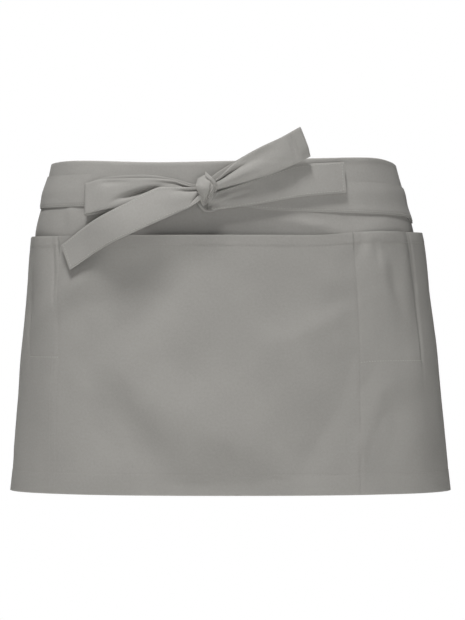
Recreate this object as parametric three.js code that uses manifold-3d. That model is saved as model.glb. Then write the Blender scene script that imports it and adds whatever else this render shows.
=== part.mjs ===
// A short waist apron in twill, in the form that it has when it is worn and tied in front.
// Millimetres, +Z up, front towards -Y. The origin is the middle of the waist, half way up the band.
import * as THREE from "three";
import { mergeVertices } from "three/addons/utils/BufferGeometryUtils.js";
import Module from "manifold-3d";

const wasm = await Module();
wasm.setup();

// The hollow that the cloth is wrapped round
const waistWidth = 336.5;
const waistDepth = 214;
const hemWidth = 433.5;
const hemDepth = 258;
const squareness = 2.3;

// The cloth
const apronLength = 323.5;
const clothWidth = 680;
const clothTurn = 22.5;
const clothWall = 1.2;
const layerGap = 0.35;

// The band and the ties
const bandHeight = 32;
const tieWidth = 31.5;
const tieWall = 1.6;
const tieSlack = 0.9;
const tieSettle = 0.4;

// The pockets: one in the middle and one on each side
const pocketDrop = 72;
const pocketLift = 4.5;
const middlePocketWidth = 307;
const leftPocketWidth = 56;
const rightPocketWidth = 76;
const sidePocketDepth = 118;
const middleGape = 14;
const sideGape = 6;
const edgeGape = 7.5;

// How the pocket cloth stands off: the power that rounds each bulge between two seams, the power
// that lets it fade towards the hem, and where the edge's lift runs, as shares of the right seam
const bulgePower = 0.6;
const fadePower = 1.3;
const liftFrom = 0.6;
const liftTo = 1.2;

// The knot of the bow
const knotWidth = 23;
const knotHeight = 36;
const knotDepth = 18;
const knotTilt = 0.2;
const knotAside = 20.5;
const knotDrop = 14.5;
const wrapSwell = 0.12;
const wrapReach = 0.4;

// Heights and layers that follow from the sizes
const bandTop = bandHeight / 2;
const bandFoot = -bandHeight / 2;
const hemHeight = bandTop - apronLength;
const pocketHeight = bandTop - pocketDrop;
const overSkirt = clothWall + layerGap;
const overBand = overSkirt + clothWall + layerGap;
const overTie = tieWall + layerGap;
const bowBase = overBand + tieWall;

// Lines on the cloth, measured round it from the middle of the front, to the left negative
const leftEdge = -clothWidth / 2 - clothTurn;
const rightEdge = clothWidth / 2 - clothTurn;
const leftSeam = -middlePocketWidth / 2 - clothTurn;
const rightSeam = middlePocketWidth / 2 - clothTurn;
const leftPocketEnd = leftSeam - leftPocketWidth;
const rightPocketEnd = rightSeam + rightPocketWidth;

// How fine the facets are
const steps = {
  leg: 3,
  tie: 46,
  loop: 10,
  foldTurn: 5,
  tail: 12,
  knotRound: 18,
  knotTall: 12,
  contour: 240,
};
const pocketRows = [0, 0.05, 0.14, 0.26, 0.38, 0.5, 0.64, 0.8, 1];

// The outline of the hollow. down: share of the length below the top of the band;
// flare: share of the growth from waist to hem; aside: shift to the right, share of the waist's width
const bodyRows = [
  { down: 0, flare: 0, aside: -0.0105 },
  { down: 0.1, flare: 0.2, aside: -0.0105 },
  { down: 0.2, flare: 0.39, aside: -0.009 },
  { down: 0.24, flare: 0.43, aside: -0.006 },
  { down: 0.42, flare: 0.56, aside: -0.001 },
  { down: 0.57, flare: 0.69, aside: 0.004 },
  { down: 0.73, flare: 0.805, aside: 0.006 },
  { down: 1, flare: 1, aside: 0.009 },
];

// The top of the band rises and dips. turn: share of the way round to the back;
// rise: share of the band's height
const topRows = [
  { turn: -0.75, rise: 0 },
  { turn: -0.5, rise: 0 },
  { turn: -0.37, rise: 0.03 },
  { turn: -0.13, rise: -0.07 },
  { turn: 0, rise: -0.03 },
  { turn: 0.22, rise: 0.08 },
  { turn: 0.34, rise: 0.13 },
  { turn: 0.5, rise: -0.05 },
  { turn: 0.7, rise: 0 },
];

// Soft folds in the pocket cloth. turn: share of the way round to the back; down: share of the
// pocket cloth's height; lean: how far the fold runs sideways, in the same measure as turn;
// wide, tall: its half spread; deep: share of the middle pocket's gape
const foldRows = [
  { turn: -0.385, down: 0.12, lean: 0.01, wide: 0.022, tall: 0.2, deep: 0.14 },
  { turn: -0.26, down: 0.62, lean: 0.16, wide: 0.045, tall: 0.3, deep: 0.12 },
  { turn: 0.02, down: 0.4, lean: -0.06, wide: 0.09, tall: 0.24, deep: 0.1 },
  { turn: 0.17, down: 0.3, lean: 0.1, wide: 0.05, tall: 0.14, deep: -0.1 },
  { turn: 0.32, down: 0.75, lean: -0.12, wide: 0.04, tall: 0.28, deep: 0.12 },
  { turn: 0.335, down: 0.1, lean: 0.01, wide: 0.02, tall: 0.12, deep: 0.12 },
];

// The ties' way round. back: share of the way across the open back, from the tie's own end of
// the band to the other end; front: share of the way on from there to the knot;
// up: height of the middle, in tie widths; out: layer that it lies on; wide: share of its width
const leftTieRows = [
  { back: 0, up: 0, out: -tieWall / 8, wide: 1 },
  { back: 0.18, up: 0, out: overTie, wide: 1 },
  { back: 0.5, up: -0.35, out: overTie, wide: 1 },
  { back: 0.9, up: -0.72, out: overBand, wide: 1 },
  { front: 0.1, up: -0.78, out: overBand, wide: 1 },
  { front: 0.26, up: -0.8, out: overBand + tieSlack, wide: 1.06 },
  { front: 0.38, up: -0.64, out: overBand, wide: 1 },
  { front: 0.6, up: -0.58, out: overBand, wide: 0.98 },
  { front: 0.8, up: -0.54, out: overBand, wide: 0.95 },
  { front: 0.92, up: -0.49, out: overBand, wide: 0.7 },
  { front: 1, up: -0.46, out: overBand + tieWall, wide: 0.36 },
];
const rightTieRows = [
  { back: 0, up: 0, out: -tieWall / 8, wide: 1 },
  { back: 0.5, up: -0.5, out: 0, wide: 1 },
  { back: 0.8, up: -1.1, out: 0, wide: 1 },
  { back: 0.97, up: -1.1, out: overBand, wide: 1 },
  { front: 0.16, up: -0.75, out: overBand, wide: 1 },
  { front: 0.37, up: -0.37, out: overBand + tieSlack, wide: 1 },
  { front: 0.6, up: -0.365, out: overBand, wide: 1 },
  { front: 0.84, up: -0.35, out: overBand, wide: 0.95 },
  { front: 0.93, up: -0.42, out: overBand, wide: 0.66 },
  { front: 1, up: -0.46, out: overBand + tieWall, wide: 0.34 },
];

// The bow, in tie widths from the middle of the knot. topX, topZ: upper edge; lowX, lowZ: lower
// edge; front, back: how far each layer stands out from the ties; crown: how far its middle bulges
const leftLoopRows = [
  { topX: -0.08, topZ: 0.12, lowX: -0.08, lowZ: -0.1, front: 0.25, back: 0.145, crown: 0.03 },
  { topX: -0.45, topZ: 0.18, lowX: -0.45, lowZ: -0.14, front: 0.26, back: 0.12, crown: 0.03 },
  { topX: -1.1, topZ: 0.36, lowX: -1.1, lowZ: -0.3, front: 0.24, back: 0.08, crown: 0.03 },
  { topX: -2.0, topZ: 0.43, lowX: -2.0, lowZ: -0.42, front: 0.22, back: 0.05, crown: 0.02 },
  { topX: -3.0, topZ: 0.43, lowX: -3.0, lowZ: -0.55, front: 0.18, back: 0.05, crown: 0.01 },
  { topX: -3.62, topZ: 0.4, lowX: -3.66, lowZ: -0.7, front: 0.15, back: 0.05, crown: 0 },
];
const rightLoopRows = [
  { topX: 0.08, topZ: 0.3, lowX: 0.1, lowZ: 0.02, front: 0.36, back: 0.25, crown: 0.03 },
  { topX: 0.38, topZ: 0.5, lowX: 0.5, lowZ: 0.1, front: 0.37, back: 0.24, crown: 0.04 },
  { topX: 0.86, topZ: 0.87, lowX: 1.08, lowZ: 0.25, front: 0.38, back: 0.22, crown: 0.05 },
  { topX: 1.6, topZ: 1.35, lowX: 1.8, lowZ: 0.47, front: 0.4, back: 0.2, crown: 0.04 },
  { topX: 2.27, topZ: 1.65, lowX: 2.5, lowZ: 0.75, front: 0.4, back: 0.22, crown: 0.02 },
  { topX: 2.82, topZ: 1.97, lowX: 3.17, lowZ: 1.08, front: 0.38, back: 0.25, crown: 0 },
];
const leftTailRows = [
  { topX: -0.08, topZ: 0.1, lowX: -0.08, lowZ: -0.12, front: 0.38, crown: 0.02 },
  { topX: -0.5, topZ: 0.13, lowX: -0.46, lowZ: -0.42, front: 0.37, crown: 0.04 },
  { topX: -1.32, topZ: 0.12, lowX: -1.03, lowZ: -0.7, front: 0.38, crown: 0.05 },
  { topX: -2.39, topZ: -0.34, lowX: -2.02, lowZ: -1.16, front: 0.42, crown: 0.03 },
  { topX: -3.4, topZ: -0.82, lowX: -3.06, lowZ: -1.65, front: 0.4, crown: 0.02 },
  { topX: -4.5, topZ: -1.61, lowX: -4.21, lowZ: -2.37, front: 0.3, crown: 0 },
];
const rightTailRows = [
  { topX: 0.06, topZ: -0.1, lowX: 0.02, lowZ: -0.56, front: 0.15, crown: 0.01 },
  { topX: 0.5, topZ: 0.06, lowX: 0.45, lowZ: -0.54, front: 0.11, crown: 0.02 },
  { topX: 1.0, topZ: 0.22, lowX: 0.92, lowZ: -0.48, front: 0.07, crown: 0.02 },
  { topX: 1.8, topZ: 0.5, lowX: 1.68, lowZ: -0.36, front: 0.06, crown: 0.02 },
  { topX: 3.0, topZ: 0.86, lowX: 3.0, lowZ: -0.11, front: 0.07, crown: 0.02 },
  { topX: 4.25, topZ: 0.955, lowX: 4.31, lowZ: 0, front: 0.06, crown: 0 },
];

// A smooth curve through the rows of a table, which never swings past them
function curve(rows, from, to) {
  const x = rows.map((row) => row[from]);
  const y = rows.map((row) => row[to]);
  const last = rows.length - 1;
  const rise = [];
  for (let i = 0; i < last; i++) {
    rise.push((y[i + 1] - y[i]) / (x[i + 1] - x[i]));
  }
  const slope = [rise[0]];
  for (let i = 1; i < last; i++) {
    const turns = rise[i - 1] * rise[i] <= 0;
    slope.push(turns ? 0 : (2 * rise[i - 1] * rise[i]) / (rise[i - 1] + rise[i]));
  }
  slope.push(rise[last - 1]);
  return (at) => {
    if (at <= x[0]) return y[0];
    if (at >= x[last]) return y[last];
    let i = 0;
    while (at > x[i + 1]) i++;
    const run = x[i + 1] - x[i];
    const t = (at - x[i]) / run;
    const far = t * t * (3 - 2 * t);
    const bendNear = t * (1 - t) * (1 - t);
    const bendFar = t * t * (t - 1);
    return y[i] + (y[i + 1] - y[i]) * far + run * (slope[i] * bendNear + slope[i + 1] * bendFar);
  };
}

function ease(share) {
  const t = THREE.MathUtils.clamp(share, 0, 1);
  return t * t * (3 - 2 * t);
}

const flareAt = curve(bodyRows, "down", "flare");
const asideAt = curve(bodyRows, "down", "aside");
const topRiseAt = curve(topRows, "turn", "rise");
const rings = new Map();

// The outline of the hollow at one height: a rounded oval, measured along its length
function ringAt(z) {
  const key = z.toFixed(3);
  if (rings.has(key)) return rings.get(key);
  const down = (bandTop - z) / apronLength;
  const flare = flareAt(down);
  const ring = {
    wide: THREE.MathUtils.lerp(waistWidth, hemWidth, flare) / 2,
    deep: THREE.MathUtils.lerp(waistDepth, hemDepth, flare) / 2,
    aside: asideAt(down) * waistWidth,
    lengths: [0],
  };
  let before = ringPoint(ring, 0);
  for (let i = 1; i <= steps.contour; i++) {
    const here = ringPoint(ring, (Math.PI * i) / steps.contour);
    ring.lengths.push(ring.lengths[i - 1] + here.distanceTo(before));
    before = here;
  }
  ring.half = ring.lengths[steps.contour];
  rings.set(key, ring);
  return ring;
}

// Angle 0 is the middle of the front, a half turn the middle of the back
function ringPoint(ring, angle) {
  const power = 2 / squareness;
  const x = ring.wide * Math.abs(Math.sin(angle)) ** power;
  const y = -ring.deep * Math.sign(Math.cos(angle)) * Math.abs(Math.cos(angle)) ** power;
  return new THREE.Vector2(x, y);
}

function ringAngle(ring, share) {
  const length = share * ring.half;
  let low = 0;
  let high = steps.contour;
  while (high - low > 1) {
    const middle = (low + high) >> 1;
    if (ring.lengths[middle] > length) high = middle;
    else low = middle;
  }
  const part = (length - ring.lengths[low]) / (ring.lengths[high] - ring.lengths[low]);
  return (Math.PI * (low + part)) / steps.contour;
}

// A place round the hollow. turn: 0 at the front, 1 at the back, negative to the left;
// out: distance from the hollow
function onBody(turn, z, out) {
  const ring = ringAt(z);
  const around = THREE.MathUtils.euclideanModulo(turn + 1, 2) - 1;
  const side = around < 0 ? -1 : 1;
  const point = ringPoint(ring, ringAngle(ring, Math.abs(around)));
  const power = squareness - 1;
  const normal = new THREE.Vector2(
    (Math.abs(point.x) / ring.wide) ** power / ring.wide,
    (Math.sign(point.y) * (Math.abs(point.y) / ring.deep) ** power) / ring.deep,
  ).normalize();
  return new THREE.Vector3(
    side * (point.x + normal.x * out) + ring.aside,
    point.y + normal.y * out,
    z,
  );
}

// A place on the cloth, by its length round from the middle of the front
function onCloth(length, z, out) {
  return onBody(length / ringAt(z).half, z, out);
}

// A place in front of the hollow, by its sideways distance
function onFront(x, z, out) {
  let low = -0.5;
  let high = 0.5;
  for (let i = 0; i < 30; i++) {
    const middle = (low + high) / 2;
    if (onBody(middle, z, out).x < x) low = middle;
    else high = middle;
  }
  return onBody(low, z, out);
}

// A closed wall through sections that each have an outer and an inner row of points
function wall(sections) {
  const points = [];
  for (const section of sections) {
    points.push(...section.outer, ...[...section.inner].reverse());
  }
  const reach = (p, q) => Math.hypot(points[p].x + points[q].x, points[p].y + points[q].y);
  const across = sections[0].outer.length;
  const count = 2 * across;
  const faces = [];
  for (let i = 0; i < sections.length - 1; i++) {
    for (let k = 0; k < count; k++) {
      const a = i * count + k;
      const b = i * count + ((k + 1) % count);
      const c = b + count;
      const d = a + count;
      // The diagonal that lies further out, so that layers on each other split alike
      if (reach(a, c) > reach(b, d)) faces.push(a, b, c, a, c, d);
      else faces.push(a, b, d, b, c, d);
    }
  }
  const end = (sections.length - 1) * count;
  for (let j = 0; j < across - 1; j++) {
    const k = count - 1 - j;
    faces.push(j + 1, j, k, j + 1, k, k - 1);
    faces.push(end + j, end + j + 1, end + k - 1, end + j, end + k - 1, end + k);
  }
  return solid(points, faces);
}

function solid(points, faces) {
  let volume = 0;
  const cross = new THREE.Vector3();
  for (let i = 0; i < faces.length; i += 3) {
    cross.crossVectors(points[faces[i]], points[faces[i + 1]]);
    volume += cross.dot(points[faces[i + 2]]);
  }
  if (volume < 0) faces.reverse();
  const geometry = new THREE.BufferGeometry();
  geometry.setAttribute(
    "position",
    new THREE.Float32BufferAttribute(points.flatMap((point) => point.toArray()), 3),
  );
  geometry.setIndex(faces);
  return geometry;
}

function asManifold(geometry) {
  return new wasm.Manifold(
    new wasm.Mesh({
      numProp: 3,
      vertProperties: new Float32Array(geometry.attributes.position.array),
      triVerts: new Uint32Array(geometry.index.array),
    }),
  );
}

// What is left of a ribbon outside the knot, without the crumbs inside its grooves
function cutAway(geometry, tool) {
  const left = asManifold(geometry).subtract(asManifold(tool)).decompose();
  left.sort((a, b) => b.volume() - a.volume());
  const mesh = left[0].getMesh();
  const cut = new THREE.BufferGeometry();
  cut.setAttribute("position", new THREE.Float32BufferAttribute(mesh.vertProperties, 3));
  cut.setIndex([...mesh.triVerts]);
  return cut;
}

function shares(count) {
  return Array.from({ length: count + 1 }, (_, i) => i / count);
}

function clothMaterial(color) {
  return new THREE.MeshStandardMaterial({ color, roughness: 0.9, metalness: 0 });
}

function topOfBand(length) {
  return bandTop + topRiseAt(length / ringAt(bandTop).half) * bandHeight;
}

// The columns of the cloth: close together at the stitched lines, even between them
function clothColumns() {
  const spans = [
    { from: leftEdge, to: leftPocketEnd, count: 7 },
    { from: leftPocketEnd, to: leftSeam, count: 6 },
    { from: leftSeam, to: rightSeam, count: 20 },
    { from: rightSeam, to: rightPocketEnd, count: 7 },
    { from: rightPocketEnd, to: rightEdge, count: 7 },
  ];
  const columns = [leftEdge];
  for (const span of spans) {
    for (let i = 1; i <= span.count; i++) {
      const even = i / span.count;
      const eased = (1 - Math.cos(Math.PI * even)) / 2;
      columns.push(THREE.MathUtils.lerp(span.from, span.to, (even + eased) / 2));
    }
  }
  return columns;
}

function pocketHeights(length) {
  return pocketRows.map((down) => THREE.MathUtils.lerp(pocketEdge(length), hemHeight, down));
}

function skirtPanel() {
  const sections = clothColumns().map((length) => {
    const top = topOfBand(length) - clothWall - layerGap;
    const rows = [...legHeights(top), ...pocketHeights(length)];
    return {
      outer: rows.map((z) => onCloth(length, z, clothWall)),
      inner: rows.map((z) => onCloth(length, z, 0)),
    };
  });
  return new THREE.Mesh(wall(sections), clothMaterial("#8d8e89"));
}

// The heights along a leg of the band, from its top down
function legHeights(top) {
  return shares(steps.leg).map((down) => THREE.MathUtils.lerp(top, bandFoot, down));
}

// One strip folded over the top of the skirt, with a leg inside and a leg outside
function waistband() {
  const inside = -layerGap - clothWall;
  const outside = overSkirt + clothWall;
  const corner = clothWall / 2;
  const sections = clothColumns().map((length) => {
    const top = topOfBand(length);
    const legs = legHeights(top - clothWall);
    const up = [...legs].reverse();
    return {
      outer: [
        ...up.map((z) => onCloth(length, z, outside)),
        onCloth(length, top, outside - corner),
        onCloth(length, top, inside + corner),
        ...legs.map((z) => onCloth(length, z, inside)),
      ],
      inner: [
        ...up.map((z) => onCloth(length, z, overSkirt)),
        onCloth(length, top - clothWall, overSkirt - corner),
        onCloth(length, top - clothWall, corner - layerGap),
        ...legs.map((z) => onCloth(length, z, -layerGap)),
      ],
    };
  });
  return new THREE.Mesh(wall(sections), clothMaterial("#8b8c87"));
}

function pocketEdge(length) {
  const start = rightSeam * liftFrom;
  const end = rightSeam * liftTo;
  return pocketHeight + pocketLift * ease((length - start) / (end - start));
}

// How far the pocket cloth stands off between two stitched lines
function arch(length, from, to) {
  const share = (length - from) / (to - from);
  if (share <= 0 || share >= 1) return 0;
  return Math.sin(Math.PI * share) ** bulgePower;
}

function pocketGap(length, down, drop) {
  const fade = (1 - down) ** fadePower;
  const sideFade = 1 - ease(drop / sidePocketDepth);
  const middle = middleGape * fade * arch(length, leftSeam, rightSeam);
  const side = arch(length, leftPocketEnd, leftSeam) + arch(length, rightSeam, rightPocketEnd);
  const edge = arch(length, leftEdge, leftPocketEnd) + arch(length, rightPocketEnd, rightEdge);
  let gap = middle + sideGape * sideFade * side + edgeGape * fade * edge;
  const turn = length / ringAt(pocketHeight).half;
  for (const fold of foldRows) {
    const across = (turn - fold.turn - fold.lean * (down - fold.down)) / fold.wide;
    const along = (down - fold.down) / fold.tall;
    gap += fold.deep * middleGape * Math.exp(-across * across - along * along);
  }
  return layerGap + Math.max(gap, 0);
}

function pocketPanel() {
  const sections = clothColumns().map((length) => {
    const outer = [];
    const inner = [];
    pocketHeights(length).forEach((z, i) => {
      const out = clothWall + pocketGap(length, pocketRows[i], pocketEdge(length) - z);
      outer.push(onCloth(length, z, out + clothWall));
      inner.push(onCloth(length, z, out));
    });
    return { outer, inner };
  });
  return new THREE.Mesh(wall(sections), clothMaterial("#919289"));
}

// One tie, from its end of the band across the back and forward to the knot.
// side: 1 for the tie sewn on at the right, -1 at the left
function wrappedTie(side, ownEnd, otherEnd, rows) {
  const half = ringAt(0).half;
  const start = (Math.abs(ownEnd) + layerGap) / half;
  const far = 2 - Math.abs(otherEnd) / half;
  const knot = 2 + (side * -knotAside) / half;
  const route = rows.map((row) => ({
    ...row,
    turn: "back" in row ? start + row.back * (far - start) : far + row.front * (knot - far),
  }));
  const upAt = curve(route, "turn", "up");
  const outAt = curve(route, "turn", "out");
  const wideAt = curve(route, "turn", "wide");
  const sections = shares(steps.tie).map((share) => {
    const turn = THREE.MathUtils.lerp(start, knot, share);
    const settled = ease((turn - start) / (tieSettle * (far - start)));
    const outer = [];
    const inner = [];
    for (const edge of [0.5, 0, -0.5]) {
      const z = (upAt(turn) + edge * wideAt(turn)) * tieWidth;
      const seat = (Math.abs(ownEnd) + layerGap) / ringAt(z).half;
      const place = side * (turn + (seat - start) * (1 - settled));
      outer.push(onBody(place, z, outAt(turn) + tieWall));
      inner.push(onBody(place, z, outAt(turn)));
    }
    return { outer, inner };
  });
  return new THREE.Mesh(cutAway(wall(sections), knotShape(layerGap)), clothMaterial("#8f908a"));
}

function bowPlace(x, z, out) {
  const height = -knotDrop + z * tieWidth;
  return onFront(-knotAside + x * tieWidth, height, bowBase + out * tieWidth);
}

// The points across a ribbon of the bow at one row of its table
function ribbonAcross(rows, share, outColumn) {
  const at = (column) => curve(rows, "share", column)(share);
  return [-1, -0.5, 0, 0.5, 1].map((v) => {
    const mix = (v + 1) / 2;
    const x = THREE.MathUtils.lerp(at("lowX"), at("topX"), mix);
    const z = THREE.MathUtils.lerp(at("lowZ"), at("topZ"), mix);
    return { x, z, out: at(outColumn) + at("crown") * (1 - v * v) };
  });
}

function withShares(rows) {
  return rows.map((row, i) => ({ ...row, share: i / (rows.length - 1) }));
}

// A ribbon with its wall to either side of the rows of points given
function ribbon(lines) {
  const places = lines.map((line) => line.map((p) => bowPlace(p.x, p.z, p.out)));
  const along = new THREE.Vector3();
  const across = new THREE.Vector3();
  const sections = places.map((line, i) => {
    const outer = [];
    const inner = [];
    line.forEach((place, j) => {
      const next = places[Math.min(i + 1, places.length - 1)][j];
      const before = places[Math.max(i - 1, 0)][j];
      along.subVectors(next, before);
      across.subVectors(line[Math.min(j + 1, line.length - 1)], line[Math.max(j - 1, 0)]);
      const normal = new THREE.Vector3().crossVectors(along, across).normalize();
      outer.push(place.clone().addScaledVector(normal, tieWall / 2));
      inner.push(place.clone().addScaledVector(normal, -tieWall / 2));
    });
    return { outer, inner };
  });
  return cutAway(wall(sections), knotShape(layerGap));
}

// A loop: its front layer out to the fold, round the fold, and its back layer to the knot again
function bowLoop(table, color) {
  const rows = withShares(table);
  const stations = shares(steps.loop);
  const lines = stations.map((share) => ribbonAcross(rows, share, "front"));
  const end = rows[rows.length - 1];
  const before = rows[rows.length - 2];
  const run = Math.hypot(end.topX - before.topX, end.topZ - before.topZ);
  const radius = (end.front - end.back) / 2;
  for (let k = 1; k < steps.foldTurn; k++) {
    const angle = (Math.PI * k) / steps.foldTurn;
    const reach = (radius * Math.sin(angle)) / run;
    lines.push(
      ribbonAcross(rows, 1, "front").map((p) => ({
        x: p.x + (end.topX - before.topX) * reach,
        z: p.z + (end.topZ - before.topZ) * reach,
        out: end.back + radius * (1 + Math.cos(angle)),
      })),
    );
  }
  for (const share of [...stations].reverse()) {
    lines.push(ribbonAcross(rows, share, "back"));
  }
  return new THREE.Mesh(ribbon(lines), clothMaterial(color));
}

function bowTail(table, color) {
  const rows = withShares(table);
  const lines = shares(steps.tail).map((share) => ribbonAcross(rows, share, "front"));
  return new THREE.Mesh(ribbon(lines), clothMaterial(color));
}

// The knot: a lump with a raised wrap across it, from upper left to lower right
function knotShape(margin) {
  const shape = new THREE.SphereGeometry(1, steps.knotRound, steps.knotTall);
  shape.deleteAttribute("normal");
  shape.deleteAttribute("uv");
  const geometry = mergeVertices(shape);
  const middle = onFront(-knotAside, -knotDrop, overBand + (knotDepth / 2) * (1 + wrapSwell / 2));
  const position = geometry.attributes.position;
  const point = new THREE.Vector3();
  for (let i = 0; i < position.count; i++) {
    point.fromBufferAttribute(position, i);
    const fromWrap = (point.x + point.z) / Math.SQRT2;
    const swell = 1 - wrapSwell / 2 + wrapSwell * Math.exp(-((fromWrap / wrapReach) ** 2));
    point.multiplyScalar(swell);
    point.multiply(
      new THREE.Vector3(knotWidth / 2 + margin, knotDepth / 2 + margin, knotHeight / 2 + margin),
    );
    point.applyAxisAngle(new THREE.Vector3(0, 1, 0), knotTilt);
    point.add(middle);
    position.setXYZ(i, point.x, point.y, point.z);
  }
  return geometry;
}

function bowKnot() {
  return new THREE.Mesh(knotShape(0), clothMaterial("#93948f"));
}

const pieces = {
  skirt_panel: skirtPanel(),
  waistband: waistband(),
  pocket_panel: pocketPanel(),
  tie_left: wrappedTie(-1, leftEdge, rightEdge, leftTieRows),
  tie_right: wrappedTie(1, rightEdge, leftEdge, rightTieRows),
  bow_knot: bowKnot(),
  bow_loop_left: bowLoop(leftLoopRows, "#959690"),
  bow_loop_right: bowLoop(rightLoopRows, "#959690"),
  bow_tail_left: bowTail(leftTailRows, "#979891"),
  bow_tail_right: bowTail(rightTailRows, "#8e8f89"),
};

const apron = new THREE.Group();
apron.name = "short_apron";
for (const [name, piece] of Object.entries(pieces)) {
  piece.name = name;
  apron.add(piece);
}

export default apron;
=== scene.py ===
import math
import bpy
import numpy as np
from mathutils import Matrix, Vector


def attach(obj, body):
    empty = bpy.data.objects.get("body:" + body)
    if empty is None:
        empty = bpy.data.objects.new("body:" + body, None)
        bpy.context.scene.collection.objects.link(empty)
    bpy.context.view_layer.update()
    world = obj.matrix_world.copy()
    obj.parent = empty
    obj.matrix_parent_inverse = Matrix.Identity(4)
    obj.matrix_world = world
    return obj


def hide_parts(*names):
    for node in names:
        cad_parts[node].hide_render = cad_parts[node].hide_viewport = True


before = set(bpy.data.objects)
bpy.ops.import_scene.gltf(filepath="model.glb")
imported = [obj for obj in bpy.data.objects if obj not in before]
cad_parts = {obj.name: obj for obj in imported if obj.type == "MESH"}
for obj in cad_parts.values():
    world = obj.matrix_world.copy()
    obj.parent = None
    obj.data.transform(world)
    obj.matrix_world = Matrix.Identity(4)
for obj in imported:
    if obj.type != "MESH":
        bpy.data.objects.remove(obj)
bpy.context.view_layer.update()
print("frame loaded:", len(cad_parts), "nodes")

# The hollow that the cloth is wrapped round, in mm, as it was built
hip = {
    "waistWidth": 336.5, "waistDepth": 214.0,
    "hemWidth": 433.5, "hemDepth": 258.0,
    "squareness": 2.3,  # 2 is an ellipse, more is squarer
    "bandTop": 16.0, "length": 323.5,
    "down": [0, 0.1, 0.2, 0.24, 0.42, 0.57, 0.73, 1],
    "flare": [0, 0.2, 0.39, 0.43, 0.56, 0.69, 0.805, 1],
    "aside": [-0.0105, -0.0105, -0.009, -0.006, -0.001, 0.004, 0.006, 0.009],
}

cloth = {
    "wall": 1.2, "gap": 0.35,
    "width": 680.0, "turn": 22.5,  # the apron has slipped round to the left
    "bandHeight": 32.0,
    "topTurn": [-0.75, -0.5, -0.37, -0.13, 0, 0.22, 0.34, 0.5, 0.7],
    "topRise": [0, 0.03, 0.07, -0.03, 0, 0.11, 0.16, -0.01, 0],
}

ties = {
    "width": 31.5, "wall": 1.6, "slack": 0.9,
    "seamInset": 2.2, "seamDepth": 0.15,  # the sewn line above the lower edge
    "crown": 0.25, "ripple": 0.22, "pleat": 0.9,
    "topThin": 1.25, "footThin": 0.7,  # how much thinner the edges are
}

pockets = {
    "drop": 72.0,  # the pocket edge, below the band's top
    "lift": 4.5, "liftFrom": 78.6, "liftTo": 157.2,  # it rises between these places
    "leftDepth": 118.5, "rightDepth": 126.5,
    # the sewn lines lean: down from the mouth, then each line's place round the cloth
    "seamDown": [0, 21, 63, 118, 160, 252],
    "leftSeam": [-170.5, -172, -172.5, -173, -175.5, -176.5],
    "rightSeam": [125.3, 127, 128.2, 129, 128.5, 127],
    "leftEnd": [-234.4, -232, -227, -221, -217, -207],
    "rightEnd": [197, 200, 203.5, 203, 205, 214],
    "middleGape": 14.0, "sideGape": 6.0, "edgeGape": 7.5,
    "mouthHem": 10.5,  # the stitched fold along the mouth
    "hem": 20.0,
    # mm that the folded edges and puckers stand out and that the sewn lines are drawn in
    "mouthRise": 0.12, "hemRise": 0.2, "puckerRise": 0.14, "lineDepth": 0.1, "footDepth": 0.12,
}

# the knot's middle: off the tie behind it, left of the front and below the band's middle
knot = {"out": 7.94, "aside": 20.5, "drop": 14.5}

stitch = {"pitch": 2.9, "length": 2.2, "radius": 0.2}

overSkirt = cloth["wall"] + cloth["gap"]
overBand = overSkirt + cloth["wall"] + cloth["gap"]
overTie = ties["wall"] + cloth["gap"]
bowBase = overBand + ties["wall"]
bandFoot = -cloth["bandHeight"] / 2
hemHeight = hip["bandTop"] - hip["length"]
pocketHeight = hip["bandTop"] - pockets["drop"]
pocketTall = pocketHeight - hemHeight
leftEdge = -cloth["width"] / 2 - cloth["turn"]
rightEdge = cloth["width"] / 2 - cloth["turn"]
edges = [leftEdge, rightEdge]


# Small mathematics

def smoothCurve(xs, ys):
    # a smooth curve through the points, which never swings past them
    xs, ys = np.asarray(xs, float), np.asarray(ys, float)
    rise = np.diff(ys) / np.diff(xs)
    slope = np.zeros(len(xs))
    slope[0], slope[-1] = rise[0], rise[-1]
    before, after = rise[:-1], rise[1:]
    same = before * after > 0
    total = np.where(same, before + after, 1)
    slope[1:-1] = np.where(same, 2 * before * after / total, 0)

    def at(x):
        x = np.clip(x, xs[0], xs[-1])
        i = np.clip(np.searchsorted(xs, x, side="right") - 1, 0, len(xs) - 2)
        run = xs[i + 1] - xs[i]
        t = (x - xs[i]) / run
        bend = slope[i] * t * (1 - t) ** 2 + slope[i + 1] * t * t * (t - 1)
        return ys[i] + (ys[i + 1] - ys[i]) * t * t * (3 - 2 * t) + run * bend
    return at


def ease(share):
    t = np.clip(share, 0, 1)
    return t * t * (3 - 2 * t)


def bell(x, wide):
    return np.exp(-(x / wide) ** 2)


def lengthAlong(points):
    steps = np.linalg.norm(np.diff(points, axis=0), axis=1)
    return np.concatenate([[0], np.cumsum(steps)])


def softNoise(x, y, size, seed):
    # smooth value noise between -1 and 1, the same on every run
    random = np.random.default_rng(seed)
    grid = random.uniform(-1, 1, (64, 64))
    u, v = x / size + 7.3 * seed, y / size + 3.1 * seed
    iu, iv = np.floor(u).astype(int), np.floor(v).astype(int)
    fu, fv = ease(u - iu), ease(v - iv)
    corner = lambda a, b: grid[(iu + a) % 64, (iv + b) % 64]
    near = corner(0, 0) * (1 - fu) + corner(1, 0) * fu
    far = corner(0, 1) * (1 - fu) + corner(1, 1) * fu
    return near * (1 - fv) + far * fv


# The form under the cloth: rounded ovals, one above the other, measured along their length

flareAt = smoothCurve(hip["down"], hip["flare"])
asideAt = smoothCurve(hip["down"], hip["aside"])
levels = np.linspace(90.0, hemHeight - 20, 180)
angles = np.linspace(0, math.pi, 721)
shareSteps = np.linspace(0, 1, 721)


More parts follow.
